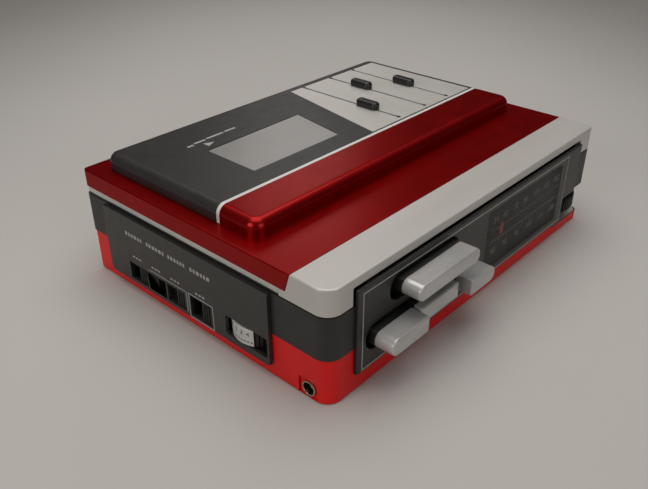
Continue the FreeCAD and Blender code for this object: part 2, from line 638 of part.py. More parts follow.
s = Solid("tuning_wheel", at=(tune_x, tune_y, 0.0))
s.turn([(0.0, 7.1), (1.5, 7.1), (1.5, 8.3), (11.3, 8.3), (11.8, 8.8), (11.8, 13.3), (11.3, 13.8), (1.5, 13.8),
        (1.5, 20.0), (0.0, 20.0)])
notch = s.cut("XY", 8.2, 13.9, ("rect", 11.5, 12.1, -0.3, 0.3))
s.ring(notch, 40)

cap_box = box("cap_case", 48.5, 68.5, -47.5, -33.0, 16.4, 26.0)
cap_hole = rod("cap_hole", "z", tune_x, tune_y, 16.3, 1.55, 5.0)
node(cut("tuning_capacitor", cap_box, [cap_hole]), "tuning_capacitor")

# dial pointer: red marker, blade through the scale slot, carriage behind
s = Solid("dial_pointer")
s.add("XZ", -53.85, -53.3, ("rrect", 9.7, 11.7, 19.0, 23.0, 0.3))
s.add("XZ", -53.4, -50.4, ("rect", 10.2, 11.2, 20.7, 21.3))
s.add("XZ", -50.5, -48.5, ("rect", 7.7, 13.7, 18.7, 23.3))

ant = fuse("ferrite_antenna", [rod("ferrite_rod", "x", -58.0, 37.0, 11.0, 3.6, 58.0),
                               rod("ferrite_coil", "x", -44.0, 37.0, 11.0, 4.4, 18.0),
                               box("ferrite_foot_a", -52.0, -49.5, 35.0, 39.0, 5.1, 9.0),
                               box("ferrite_foot_b", -12.0, -9.5, 35.0, 39.0, 5.1, 9.0)])
node(ant, "ferrite_antenna")

contacts = group("battery_contacts", [
    fuse("contact_left", [box("contact_left_strip", 12.5, 12.9, 21.0, 48.0, 3.0, 15.0),
                          rod("contact_left_a", "x", 12.8, 27.2, 9.5, 2.6, 1.0),
                          rod("contact_left_b", "x", 12.8, 41.8, 9.5, 2.6, 1.0)]),
    fuse("contact_right", [box("contact_right_strip", 66.1, 66.5, 21.0, 48.0, 3.0, 15.0),
                           rod("contact_right_a", "x", 65.2, 27.2, 9.5, 2.6, 1.0),
                           rod("contact_right_b", "x", 65.2, 41.8, 9.5, 2.6, 1.0)])])
node(contacts, "battery_contacts")

jack_body = rod("dc_barrel", "x", -71.6, jack_y, jack_z, 2.45, 11.6)
jack_bore = rod("dc_bore", "x", -71.7, jack_y, jack_z, 1.85, 9.7)
jack_pin = rod("dc_pin", "x", -70.4, jack_y, jack_z, 0.5, 8.6)
node(fuse("dc_jack", [cut("dc_sleeve", jack_body, [jack_bore]), jack_pin]), "dc_jack")

phone = fuse("phone_outer", [rod("phone_bush", "x", 69.0, phone_y, phone_z, 3.0, 2.7),
                             box("phone_case", 56.0, 69.6, phone_y - 4.5, phone_y + 4.5, phone_z - 4.5, phone_z + 4.5)])
node(cut("headphone_jack", phone, [rod("phone_bore", "x", 57.6, phone_y, phone_z, 1.8, 14.3)]), "headphone_jack")

node(group("hinge_pins", [rod("hinge_pin_left", "x", -60.0, hinge_y, hinge_z, pin_r, 20.0),
                          rod("hinge_pin_right", "x", 40.0, hinge_y, hinge_z, pin_r, 20.0)]), "hinge_pins")

screws = []
for i, (bx, by) in enumerate(BOSS):
    t = "abcd"[i]
    head = rod("screw_head_" + t, "z", bx, by, 0.5, 2.6, 1.75)
    shank = rod("screw_shank_" + t, "z", bx, by, 2.2, 1.25, 15.4)
    slot1 = box("screw_cross_" + t, bx - 1.6, bx + 1.6, by - 0.35, by + 0.35, 0.4, 1.3)
    slot2 = box("screw_cross2_" + t, bx - 0.35, bx + 0.35, by - 1.6, by + 1.6, 0.4, 1.3)
    screws.append(cut("screw_" + t + "_body", fuse("screw_solid_" + t, [head, shank]), [slot1, slot2]))
node(group("case_screws", screws), "case_screws")

# battery cover in the underside, slides out at the back
s = Solid("battery_cover")
s.add("XY", 0.0, 1.6, ("rect", 11.5, 66.6, 16.9, 53.25))
s.cut("XY", -0.1, 0.5, ("rect", 32.0, 46.0, 44.0, 44.8), ("rect", 32.0, 46.0, 46.0, 46.8), ("rect", 32.0, 46.0, 48.0, 48.8))

# ---------------------------------------------------------------- lid
# the raised block on the lid, rounded over at the top
block = Solid("block_form", node=False)
block.add("XY", z_rim, z_top, ("rrect", -66.5, 66.5, -22.3, 48.0, 4.0))
block.fillet(3.0, at_level("z", 43.0))

rim = Solid("rim_form", node=False)
rim.add("XY", z_trim, z_rim, ("rrect", -half_x, half_x, -half_y, half_y, corner))
rim.add("XY", z_trim, z_rim, ("rrect", -20.0, half_x, -half_y, half_y, right_r))
rim.add("XY", z_trim, z_rim, ("rrect", -half_x, 0.0, -5.0, half_y, back_r))
rim.fillet(0.5, at_level("z", 37.5))
rim.cut("XY", z_trim, z_plate, ("rrect", wall - half_x, half_x - wall, -60.0, half_y - wall, 3.0))
rim.add("XY", 30.95, 31.8, ("rect", -66.0, 66.0, half_y - wall, half_y))
rim.cut("YZ", -73.0, 73.0, ("poly", [(-60.0, 31.0), (-38.15, 31.0), (-38.15, z_trim), (-39.95, z_rim), (-39.95, 38.0), (-60.0, 38.0)]))
for lo, hi in ((-53.8, -46.2), (46.2, 53.8)):
    rim.add("YZ", lo, hi, ("rect", 50.9, 53.4, hinge_z, 33.0))
    rim.add("YZ", lo, hi, ("circle", hinge_y, hinge_z, knuckle))
rim.cut("YZ", -54.5, 54.5, ("circle", hinge_y, hinge_z, pin_r + pin_gap))
rim.cut("XY", 35.0, 37.6, ("rect", -42.0, -3.5, 3.5, 22.0))
rim.cut("XY", 35.0, 37.6, ("rect", 15.0, 60.0, -2.0, 43.0))
ridge = common("ridge_part", block.body, box("ridge_zone", -70.0, 70.0, -30.0, -7.5, 37.0, 45.0))
node(fuse("top_cover", [rim.body, ridge]), "top_cover")

node(common("pinstripe", block.body, box("stripe_zone", -70.0, 70.0, -7.5, -6.2, 37.0, 45.0)), "pinstripe")

# slanted edge between the black plate and the silver equaliser plate
EQ = [(3.6, -5.6), (62.8, -5.6), (62.8, 43.2), (13.75, 43.2)]
WIN = [(-44.0, 2.0), (-5.7, 1.8), (-1.5, 24.7), (-43.7, 24.0)]
EQ_X = [dim("slider_a_x", 20.5), dim("slider_b_x", 36.0), dim("slider_c_x", 49.8)]


def prism(name, pts, lo, hi):
    p = Solid(name, node=False)
    p.add("XY", lo, hi, ("poly", pts))
    return p.body


zone = box("door_zone", -70.0, 70.0, -6.2, 60.0, 37.0, 45.0)
tools = [prism("eq_recess", EQ, 42.0, 43.5), box("eq_cavity", 14.0, 61.0, -3.0, 44.0, 37.0, 41.0),
         prism("window_seat", WIN, 41.0, 43.5),
         prism("window_hole", [(-42.4, 3.6), (-6.9, 3.4), (-3.4, 22.9), (-42.1, 22.4)], 37.0, 41.5)]
for i, ex in enumerate(EQ_X):
    tools.append(box("eq_roof_slot_%s" % "abc"[i], ex - 0.7, ex + 0.7, 2.6, 42.0, 40.5, 42.5))
node(cut("door_panel", common("door_block", block.body, zone), tools), "door_panel")

s = Solid("door_window")
s.add("XY", 41.0, 42.9, ("poly", [(-43.95, 2.05), (-5.75, 1.85), (-1.56, 24.64), (-43.65, 23.95)]))

s = Solid("eq_panel")
s.add("XY", 42.0, 43.0, ("poly", [(3.66, -5.55), (62.75, -5.55), (62.75, 43.15), (13.8, 43.15)]))
for ex in EQ_X:
    s.cut("XY", 41.9, 43.1, ("rect", ex - 0.5, ex + 0.5, -3.5, 42.4))

pots = [box("eq_base", 16.0, 59.0, -1.0, 42.0, 35.6, 36.6)]
slots = []
for i, ex in enumerate(EQ_X):
    t = "abc"[i]
    pots.append(box("eq_pot_" + t, ex - 3.4, ex + 3.4, 1.0, 41.6, 36.5, 40.6))
    slots.append(box("eq_pot_slot_" + t, ex - 0.7, ex + 0.7, 2.6, 41.0, 38.6, 40.8))
node(cut("eq_board", fuse("eq_solid", pots), slots), "eq_board")

for name, ex, cy in (("eq_knob_a", EQ_X[0], 10.5), ("eq_knob_b", EQ_X[1], 26.5), ("eq_knob_c", EQ_X[2], 16.5)):
    ky = dim(name + "_centre", cy)
    s = Solid(name)
    s.add("XY", 43.2, 45.7, ("rrect", ex - 2.0, ex + 2.0, ky - 5.2, ky + 5.2, 1.6))
    s.fillet(1.2, at_level("z", 45.7))
    s.add("XY", 39.4, 43.4, ("rect", ex - 0.3, ex + 0.3, ky - 1.6, ky + 1.6))

# silver strip along the front of the lid, stepped over the control panel
s = Solid("front_fascia")
s.add("XY", z_lid, z_rim, ("rrect", -half_x, half_x, -half_y, half_y, corner))
s.add("XY", z_lid, z_rim, ("rrect", -20.0, half_x, -half_y, half_y, right_r))
s.fillet(0.5, at_level("z", 37.5))
s.cut("XY", z_lid, z_plate, ("rrect", wall - half_x, half_x - wall, wall - half_y, 60.0, 3.0))
s.cut("YZ", -73.0, 73.0, ("poly", [(-35.8, 29.0), (55.0, 29.0), (55.0, 38.0), (-40.05, 38.0), (-40.05, z_rim), (-38.25, z_trim),
                               (-35.8, z_trim)]))
s.cut("XZ", -54.0, -51.0, ("rect", -62.7, 62.6, 29.0, 34.7))

ring_o = Solid("trim_form", node=False)
ring_o.add("XY", z_lid, z_trim, ("rrect", -half_x, half_x, -half_y, half_y, corner))
ring_o.add("XY", z_lid, z_trim, ("rrect", -20.0, half_x, -half_y, half_y, right_r))
ring_o.add("XY", z_lid, z_trim, ("rrect", -half_x, 0.0, -5.0, half_y, back_r))
ring_o.cut("XY", z_lid, z_trim, ("rrect", wall - half_x, half_x - wall, wall - half_y, half_y - wall, 3.0))
node(group("side_trim", [
    common("trim_left", ring_o.body, box("trim_zone_left", -73.0, -69.0, -35.75, 51.8, 29.0, 32.5)),
    common("trim_right", ring_o.body, box("trim_zone_right", 69.0, 73.0, -35.75, 51.8, 29.0, 32.5))]), "side_trim")

node(group("cassette_springs", [box("cassette_spring_a", -58.0, -54.0, 6.0, 30.0, 34.9, 35.5),
                                box("cassette_spring_b", 8.0, 12.0, 6.0, 30.0, 34.9, 35.5)]), "cassette_springs")

s = Solid("lid_catch")
s.add("XY", 25.6, 35.5, ("rect", -11.0, -5.0, -50.5, -48.8))
s.add("XY", 25.6, 27.6, ("rect", -11.0, -5.0, -51.3, -50.4))

# ---------------------------------------------------------------- write
doc.recompute()
bad = []
for o in doc.Objects:
    if "Invalid" in o.State or "Error" in o.State:
        bad.append("%s: %s" % (o.Name, o.State))
for p in POCKETS:
    base = p.BaseFeature
    if base is not None and p.Shape.Volume > base.Shape.Volume - 1e-3:
        bad.append("%s cuts nothing" % p.Name)
for o in NODES:
    if o.Shape.isNull() or not o.Shape.isValid() or not o.Shape.Solids:
        bad.append("%s has no valid shape" % o.Label)
if bad:
    raise SystemExit("\n".join(bad))
for o in NODES:
    o.Shape.exportStep("parts/%s.step" % o.Label)
    b = o.Shape.BoundBox
    print("%-22s solids %2d vol %9.1f  x %7.2f %7.2f  y %7.2f %7.2f  z %6.2f %6.2f" % (
        o.Label, len(o.Shape.Solids), o.Shape.Volume, b.XMin, b.XMax, b.YMin, b.YMax, b.ZMin, b.ZMax))
print(len(NODES), "pieces")
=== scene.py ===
import json
import math
import random

import bmesh
import bpy
from mathutils import Matrix, Vector


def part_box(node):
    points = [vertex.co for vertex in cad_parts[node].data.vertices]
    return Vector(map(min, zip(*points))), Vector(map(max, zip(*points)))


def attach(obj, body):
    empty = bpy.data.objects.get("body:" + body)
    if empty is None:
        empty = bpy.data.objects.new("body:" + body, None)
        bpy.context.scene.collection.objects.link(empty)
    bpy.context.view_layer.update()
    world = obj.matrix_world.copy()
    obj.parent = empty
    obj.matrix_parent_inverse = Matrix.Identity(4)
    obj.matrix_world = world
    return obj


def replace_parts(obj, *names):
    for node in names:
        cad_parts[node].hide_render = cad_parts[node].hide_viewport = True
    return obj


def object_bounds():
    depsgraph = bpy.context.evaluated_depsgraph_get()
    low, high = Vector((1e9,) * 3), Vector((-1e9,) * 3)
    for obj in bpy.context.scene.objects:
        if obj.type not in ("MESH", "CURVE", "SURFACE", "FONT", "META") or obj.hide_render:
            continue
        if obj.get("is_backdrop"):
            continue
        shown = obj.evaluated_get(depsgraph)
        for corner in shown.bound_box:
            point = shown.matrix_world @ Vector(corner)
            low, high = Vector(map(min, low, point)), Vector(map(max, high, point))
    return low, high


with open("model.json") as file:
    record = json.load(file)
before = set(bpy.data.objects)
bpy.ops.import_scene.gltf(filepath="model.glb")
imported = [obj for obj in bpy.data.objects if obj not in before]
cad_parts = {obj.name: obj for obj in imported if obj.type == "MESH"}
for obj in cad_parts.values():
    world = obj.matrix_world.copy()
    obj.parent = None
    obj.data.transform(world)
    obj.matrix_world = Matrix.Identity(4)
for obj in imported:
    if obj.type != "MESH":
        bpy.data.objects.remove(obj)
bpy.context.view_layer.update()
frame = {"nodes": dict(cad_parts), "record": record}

nodes = frame["nodes"]
record = frame["record"]
node_body = {n: b for b, ns in record["behaviour"]["bodies"].items() for n in ns}
MM = 0.001
scene = bpy.context.scene
scene.view_settings.view_transform = "Standard"
scene.view_settings.look = "None"


# ---------------------------------------------------------------- camera
def make_camera():
    a, e, r = math.radians(-47.647), math.radians(31.085), math.radians(-0.228)
    back = Vector((math.sin(a) * math.cos(e), -math.cos(a) * math.cos(e), math.sin(e)))
    right = Vector((0, 0, 1)).cross(back).normalized()
    up = back.cross(right)
    r2 = right * math.cos(r) + up * math.sin(r)
    u2 = up * math.cos(r) - right * math.sin(r)
    data = bpy.data.cameras.new("camera")
    data.sensor_width = 36.0
    data.lens = 736.414 / 648.0 * 36.0
    data.clip_start = 0.005
    data.clip_end = 20.0
    data.dof.use_dof = False
    cam = bpy.data.objects.new("camera", data)
    scene.collection.objects.link(cam)
    m = Matrix((r2, u2, back)).transposed().to_4x4()
    m.translation = Vector((-0.17946, -0.14991, 0.13881))
    cam.matrix_world = m
    scene.camera = cam


make_camera()


# ---------------------------------------------------------------- materials
def srgb(r, g, b):
    """Eight-bit display values to linear."""
    out = []
    for v in (r, g, b):
        v /= 255.0
        out.append(v / 12.92 if v <= 0.04045 else ((v + 0.055) / 1.055) ** 2.4)
    return tuple(out)


def material(name, color, rough, metallic=0.0, coat=0.0, coat_rough=0.12, vary=0.06, scale=70.0, rvary=0.05,
             grain=0.12, grain_scale=1800.0, stretch=(1, 1, 1), specular=0.5, alpha=1.0, second=None, second_at=0.62,
             speck=None, speck_scale=900.0, anis=0.0, tint=None):
    mat = bpy.data.materials.new(name)
    mat.use_nodes = True
    nt = mat.node_tree
    nt.nodes.clear()
    out = nt.nodes.new("ShaderNodeOutputMaterial")
    bsdf = nt.nodes.new("ShaderNodeBsdfPrincipled")
    nt.links.new(bsdf.outputs[0], out.inputs[0])
    bsdf.inputs["Metallic"].default_value = metallic
    bsdf.inputs["Coat Weight"].default_value = coat
    bsdf.inputs["Coat Roughness"].default_value = coat_rough
    bsdf.inputs["Specular IOR Level"].default_value = specular
    bsdf.inputs["Alpha"].default_value = alpha
    if tint is not None:
        bsdf.inputs["Specular Tint"].default_value = (*tint, 1.0)
    bsdf.inputs["Anisotropic"].default_value = anis
    tc = nt.nodes.new("ShaderNodeTexCoord")
    mp = nt.nodes.new("ShaderNodeMapping")
    mp.inputs["Scale"].default_value = stretch
    nt.links.new(tc.outputs["Object"], mp.inputs["Vector"])

    def noise(s, detail, rough_=0.5):
        n = nt.nodes.new("ShaderNodeTexNoise")
        n.inputs["Scale"].default_value = s
        n.inputs["Detail"].default_value = detail
        n.inputs["Roughness"].default_value = rough_
        nt.links.new(mp.outputs[0], n.inputs["Vector"])
        return n.outputs[0]

    def ranged(src, a, b, c, d):
        n = nt.nodes.new("ShaderNodeMapRange")
        for i, v in enumerate((a, b, c, d)):
            n.inputs[1 + i].default_value = v
        nt.links.new(src, n.inputs[0])
        return n.outputs[0]

    def mix(fac, a, b):
        n = nt.nodes.new("ShaderNodeMix")
        n.data_type = "RGBA"
        nt.links.new(fac, n.inputs["Factor"])
        for key, v in (("A", a), ("B", b)):
            sock = [s for s in n.inputs if s.name == key and s.type == "RGBA"][0]
            if hasattr(v, "links"):
                nt.links.new(v, sock)
            else:
                sock.default_value = (*v, 1.0)
        return [s for s in n.outputs if s.type == "RGBA"][0]

    lo = tuple(c * (1 - vary) for c in color)
    hi = tuple(min(1.0, c * (1 + vary)) for c in color)
    base = mix(ranged(noise(scale, 5.0), 0.32, 0.68, 0.0, 1.0), lo, hi)
    if second is not None:
        base = mix(ranged(noise(scale * 0.6, 3.0), second_at, second_at + 0.1, 0.0, 1.0), base, second)
    if speck is not None:
        v = nt.nodes.new("ShaderNodeTexVoronoi")
        v.inputs["Scale"].default_value = speck_scale
        nt.links.new(mp.outputs[0], v.inputs["Vector"])
        base = mix(ranged(v.outputs["Distance"], 0.0, 0.35, 0.55, 0.0), base, speck)
    nt.links.new(base, bsdf.inputs["Base Color"])
    nt.links.new(ranged(noise(scale * 3.3, 6.0, 0.6), 0.3, 0.7, max(0.02, rough - rvary), rough + rvary), bsdf.inputs["Roughness"])
    if grain > 0:
        b = nt.nodes.new("ShaderNodeBump")
        b.inputs["Strength"].default_value = grain
        b.inputs["Distance"].default_value = 0.00006
        nt.links.new(noise(grain_scale, 3.0, 0.55), b.inputs["Height"])
        nt.links.new(b.outputs[0], bsdf.inputs["Normal"])
    return mat


M = {
    "red_case": material("red_case", (0.66, 0.0155, 0.0150), 0.42, vary=0.07, grain=0.10, specular=0.32, tint=(1.0, 0.35, 0.33)),
    "red_lid": material("red_lid", (0.285, 0.0005, 0.0007), 0.36, metallic=0.84, coat=0.24, coat_rough=0.24, vary=0.07,
                        scale=40, grain=0.05, speck=(0.37, 0.003, 0.004), speck_scale=2600.0, specular=0.15,
                        tint=(1.0, 0.04, 0.04)),
    "black_case": material("black_case", (0.0145, 0.0135, 0.0125), 0.46, vary=0.14, grain=0.30, grain_scale=2400),
    "black_plate": material("black_plate", (0.0240, 0.0225, 0.0210), 0.40, vary=0.10, grain=0.14, grain_scale=3200),
    "silver_trim": material("silver_trim", (0.56, 0.53, 0.50), 0.42, metallic=0.35, vary=0.04, scale=30, grain=0.08,
                            grain_scale=900, stretch=(0.15, 1, 1)),
    "silver_panel": material("silver_panel", (0.58, 0.555, 0.52), 0.40, metallic=0.35, vary=0.03, grain=0.08,
                             grain_scale=900, stretch=(1, 0.15, 1)),
    "key_silver": material("key_silver", (0.44, 0.43, 0.42), 0.20, metallic=0.25, coat=0.6, coat_rough=0.06, vary=0.12,
                           scale=150, grain=0.05, stretch=(0.5, 1, 1)),
    # near-black: painted shade inside the case and its openings, and the colour of the key stems
    "inner_black": material("inner_black", (0.010, 0.010, 0.010), 0.55, vary=0.2, grain=0.3),
    "white_line": material("white_line", (0.66, 0.63, 0.61), 0.4, vary=0.04, grain=0.06),
    "window_grey": material("window_grey", (0.255, 0.240, 0.228), 0.34, coat=0.2, vary=0.05, scale=25, grain=0.02),
    "lens_dark": material("lens_dark", (0.030, 0.028, 0.026), 0.34, alpha=0.34, vary=0.02, grain=0.0, rvary=0.02),
    "scale_print": material("scale_print", (0.023, 0.0215, 0.020), 0.5, vary=0.08, grain=0.08),
    "pointer_red": material("pointer_red", (0.95, 0.16, 0.13), 0.3, vary=0.06, grain=0.03),
    "knob_black": material("knob_black", (0.012, 0.011, 0.012), 0.30, vary=0.2, grain=0.12),
    "switch_black": material("switch_black", (0.0035, 0.0034, 0.0033), 0.55, vary=0.2, grain=0.2),
    "wheel_black": material("wheel_black", (0.0035, 0.0035, 0.0038), 0.38, vary=0.2, grain=0.15),
    "wheel_light": material("wheel_light", (0.52, 0.50, 0.475), 0.40, metallic=0.1, vary=0.08, scale=300, grain=0.1),
    "steel": material("steel", (0.42, 0.41, 0.40), 0.34, metallic=1.0, vary=0.04, scale=60, rvary=0.02, grain=0.008,
                      grain_scale=700, stretch=(0.1, 1, 1)),
    "chrome": material("chrome", (0.52, 0.46, 0.36), 0.26, metallic=1.0, vary=0.10, scale=260, grain=0.05),
    "brass_part": material("brass_part", (0.52, 0.36, 0.13), 0.28, metallic=1.0, vary=0.1, scale=150, grain=0.08),
    "belt_rubber": material("belt_rubber", (0.010, 0.010, 0.010), 0.6, vary=0.2, grain=0.3),
    "board_green": material("board_green", (0.018, 0.105, 0.040), 0.4, vary=0.2, scale=180, grain=0.2,
                            second=(0.36, 0.30, 0.10), second_at=0.66),
    "ferrite": material("ferrite", (0.050, 0.044, 0.040), 0.55, vary=0.15, scale=200, grain=0.3, second=(0.30, 0.11, 0.03),
                        second_at=0.60),
    "nickel": material("nickel", (0.45, 0.44, 0.42), 0.28, metallic=1.0, vary=0.04, scale=120, rvary=0.02, grain=0.008),
    "print_light": material("print_light", (0.46, 0.45, 0.43), 0.5, vary=0.05, scale=400, grain=0.05),
    "print_dim": material("print_dim", (0.10, 0.097, 0.09), 0.5, vary=0.08, scale=400, grain=0.05),
    "print_dial": material("print_dial", (0.125, 0.120, 0.112), 0.5, vary=0.08, scale=400, grain=0.05),
    "print_mid": material("print_mid", (0.36, 0.345, 0.325), 0.5, vary=0.06, scale=400, grain=0.05),
    "jack_inner": material("jack_inner", (0.055, 0.008, 0.006), 0.5, vary=0.2, scale=400, grain=0.05),
}
slot_of = {s["node"]: s["material_slot"] for s in record["subparts"]}
# key stems take the near-black inner_black: partly their own black, partly painted shade deep in the key slots
for n, o in nodes.items():
    m = M["inner_black" if n.endswith("_key_stem") else "switch_black" if n.startswith("mode_switch") else slot_of[n]]
    if not o.material_slots:
        o.data.materials.append(m)
    for s in o.material_slots:
        s.material = m


# ---------------------------------------------------------------- mesh helpers
def link(name, me, body, mat):
    ob = bpy.data.objects.new(name, me)
    scene.collection.objects.link(ob)
    if mat is not None and not me.materials:
        me.materials.append(mat)
    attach(ob, body)
    return ob


def smooth(me, angle=32.0):
    me.shade_smooth()
    me.set_sharp_from_angle(angle=math.radians(angle))


def softened(node, width, segments=2, angle=35.0, name=None):
    """The node's own shape with its sharp edges rounded, as moulded and pressed edges are."""
    src = nodes[node]
    me = src.data.copy()
    bm = bmesh.new()
    bm.from_mesh(me)
    bmesh.ops.remove_doubles(bm, verts=bm.verts, dist=2e-6)
    bmesh.ops.dissolve_limit(bm, angle_limit=math.radians(0.6), use_dissolve_boundaries=False, verts=bm.verts,
                             edges=bm.edges, delimit=set())
    bmesh.ops.recalc_face_normals(bm, faces=bm.faces)
    for layer in list(bm.loops.layers.uv):
        bm.loops.layers.uv.remove(layer)
    bm.to_mesh(me)
    bm.free()
    if me.has_custom_normals:
        me.free_custom_normals() if hasattr(me, "free_custom_normals") else None
    me.shade_smooth()
    ob = bpy.data.objects.new(name or ("soft_" + node), me)
    scene.collection.objects.link(ob)
    mod = ob.modifiers.new("edge", "BEVEL")
    mod.width = width * MM
    mod.segments = segments
    mod.limit_method = "ANGLE"
    mod.angle_limit = math.radians(angle)
    mod.use_clamp_overlap = True
    mod.harden_normals = False
    mod.miter_outer = "MITER_ARC"
    bpy.context.view_layer.update()
    dg = bpy.context.evaluated_depsgraph_get()
    done = bpy.data.meshes.new_from_object(ob.evaluated_get(dg))
    ob.modifiers.clear()
    ob.data = done
    lo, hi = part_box(node)
    co = [v.co for v in done.vertices]
    eps = 2e-5
    for v in done.vertices:
        for i in range(3):
            v.co[i] = min(max(v.co[i], lo[i]), hi[i])
    smooth(done, 30.0)
    wn = ob.modifiers.new("normals", "WEIGHTED_NORMAL")
    wn.keep_sharp = True
    wn.weight = 80
    bpy.context.view_layer.update()
    dg = bpy.context.evaluated_depsgraph_get()
    final = bpy.data.meshes.new_from_object(ob.evaluated_get(dg))
    ob.modifiers.clear()
    ob.data = final
    if not final.materials:
        final.materials.append(M[slot_of[node]])
    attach(ob, node_body[node])
    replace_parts(ob, node)
    return ob


def to_plane(plane, level, u, v, w=0.0):
    """A point on a face: F is the front (-Y), L the left (-X), T the top, w stands out of it. Millimetres in."""
    if plane == "F":
        return Vector((u, level - w, v)) * MM
    if plane == "L":
        return Vector((level - w, u, v)) * MM
    if plane == "T":
        return Vector((u, v, level + w)) * MM
    if plane == "B":
        return Vector((u, level + w, v)) * MM


def decal(name, plane, level, polys, mat, body, thick=0.04, sink=0.03):
    """Thin raised print: each polygon is a closed low prism on the face."""
    bm = bmesh.new()
    for poly in polys:
        lo = [bm.verts.new(to_plane(plane, level, u, v, -sink)) for u, v in poly]
        hi = [bm.verts.new(to_plane(plane, level, u, v, thick)) for u, v in poly]
        n = len(poly)
        bm.faces.new(lo)
        bm.faces.new(hi)
        for i in range(n):
            bm.faces.new((lo[i], lo[(i + 1) % n], hi[(i + 1) % n], hi[i]))
    bmesh.ops.recalc_face_normals(bm, faces=bm.faces)
    me = bpy.data.meshes.new(name)
    bm.to_mesh(me)
    bm.free()
    return link(name, me, body, mat)


def bar(u0, u1, v0, v1):
    return [(u0, v0), (u1, v0), (u1, v1), (u0, v1)]


def frame_bars(u0, u1, v0, v1, t):
    h = t / 2
    return [bar(u0 - h, u1 + h, v0 - h, v0 + h), bar(u0 - h, u1 + h, v1 - h, v1 + h),
            bar(u0 - h, u0 + h, v0 + h, v1 - h), bar(u1 - h, u1 + h, v0 + h, v1 - h)]


def numbers(name, items, plane_level, mat, body):
    """Plain dial numbers on the front face: (text, x, z, height)."""
    bm = bmesh.new()
    for text, x, z, size in items:
        cu = bpy.data.curves.new(name, "FONT")
        cu.body = text
        cu.size = size * MM
        cu.extrude = 0.00003
        cu.align_x = "CENTER"
        cu.align_y = "CENTER"
        cu.resolution_u = 3
        ob = bpy.data.objects.new(name + "_t", cu)
        scene.collection.objects.link(ob)
        bpy.context.view_layer.update()
        dg = bpy.context.evaluated_depsgraph_get()
        me = bpy.data.meshes.new_from_object(ob.evaluated_get(dg))
        me.transform(Matrix.Translation((x * MM, plane_level * MM, z * MM)) @ Matrix.Rotation(math.radians(90), 4, "X"))
        bm.from_mesh(me)
        bpy.data.objects.remove(ob)
        bpy.data.curves.remove(cu)
        bpy.data.meshes.remove(me)
    me = bpy.data.meshes.new(name)
    bm.to_mesh(me)
    bm.free()
    return link(name, me, body, mat)


def wheel(name, cx, cy, rings, teeth, depth, duty, per=6, twist=0.0):
    """A toothed wheel from rings of (radius, z, tooth share), closed top and bottom."""
    bm = bmesh.new()
    n = teeth * per
    loops = []
    zs = [z for _, z, _ in rings]
    for r, z, share in rings:
        loop = []
        for i in range(n):
            ph = (i % per) / per
            tooth = 1.0 if ph < duty else 0.0
            rr = r - depth * share * (1.0 - tooth)
            a = 2 * math.pi * (i / n) + twist * (z - zs[0])
            loop.append(bm.verts.new(Vector(((cx + rr * math.cos(a)) * MM, (cy + rr * math.sin(a)) * MM, z * MM))))
        loops.append(loop)
    for a, b in zip(loops, loops[1:]):
        for i in range(n):
            bm.faces.new((a[i], a[(i + 1) % n], b[(i + 1) % n], b[i]))
    bm.faces.new(list(reversed(loops[0])))
    bm.faces.new(loops[-1])
    bmesh.ops.recalc_face_normals(bm, faces=bm.faces)
    me = bpy.data.meshes.new(name)
    bm.to_mesh(me)
    bm.free()
    smooth(me, 28.0)
    return me


# ---------------------------------------------------------------- rounded case pieces
SOFT = {
    "lower_shell": 0.22, "middle_frame": 0.22, "control_panel": 0.15, "switch_plate": 0.22, "top_cover": 0.28,
    "front_fascia": 0.25, "side_trim": 0.2, "door_panel": 0.22, "eq_panel": 0.15, "door_window": 0.18, "pinstripe": 0.12,
    "stop_key_cap": 0.3, "rewind_key_cap": 0.3, "play_key_cap": 0.3, "fast_forward_key_cap": 0.3,
        "eq_knob_a": 0.2, "eq_knob_b": 0.2, "eq_knob_c": 0.2, "mode_switch_knob_a": 0.12, "mode_switch_knob_b": 0.12,
    "mode_switch_knob_c": 0.12, "mode_switch_knob_d": 0.12, "battery_cover": 0.3, "dial_pointer": 0.12, "dc_jack": 0.25,
    "dial_lens": 0.1, "headphone_jack": 0.25, "key_guide": 0.2, "head_plate": 0.15, "tape_head": 0.25, "lid_catch": 0.2,
    "supply_spindle": 0.2, "takeup_spindle": 0.2, "tuning_capacitor": 0.3,
}
soft_pieces = {n: softened(n, w) for n, w in SOFT.items()}


def shrink(ob, fx, fy):
    """Narrow a piece about its own middle."""
    co = [v.co for v in ob.data.vertices]
    mx = (min(c.x for c in co) + max(c.x for c in co)) / 2
    my = (min(c.y for c in co) + max(c.y for c in co)) / 2
    for v in ob.data.vertices:
        v.co.x = mx + (v.co.x - mx) * fx
        v.co.y = my + (v.co.y - my) * fy


for n in ("eq_knob_a", "eq_knob_b", "eq_knob_c"):
    shrink(soft_pieces[n], 0.92, 0.90)


def dark_inside(ob, x_in, y_in, z_in, mat):
    """Painted shade: the inner faces and the edge faces of the openings on the left take the near-black material,
    standing for the shade inside the case.
    """
    me = ob.data
    me.materials.append(mat)
    k = len(me.materials) - 1
    for f in me.polygons:
        c, d = f.center, f.normal
        outward = d.x * c.x / x_in ** 2 + d.y * c.y / y_in ** 2
        inner = abs(c.x) < x_in and abs(c.y) < y_in and c.z > z_in and (outward < 0.0 or abs(d.z) > 0.9)
        opening = c.x < 0.0 and abs(c.x) < x_in + 0.00055 and abs(d.x) < 0.5 and -0.034 < c.y < 0.035 and c.z > 0.004
        if inner or opening:
            f.material_index = k


def lower_lip(ob, z, mat):
    """A dark shadow step along the lower edge of the trim."""
    me = ob.data
    bm = bmesh.new()
    bm.from_mesh(me)
    bmesh.ops.bisect_plane(bm, geom=bm.verts[:] + bm.edges[:] + bm.faces[:], plane_co=(0, 0, z), plane_no=(0, 0, 1), dist=1e-6)
    bm.to_mesh(me)
    bm.free()
    me.materials.append(mat)
    k = len(me.materials) - 1
    for f in me.polygons:
        if f.center.z < z:
            f.material_index = k


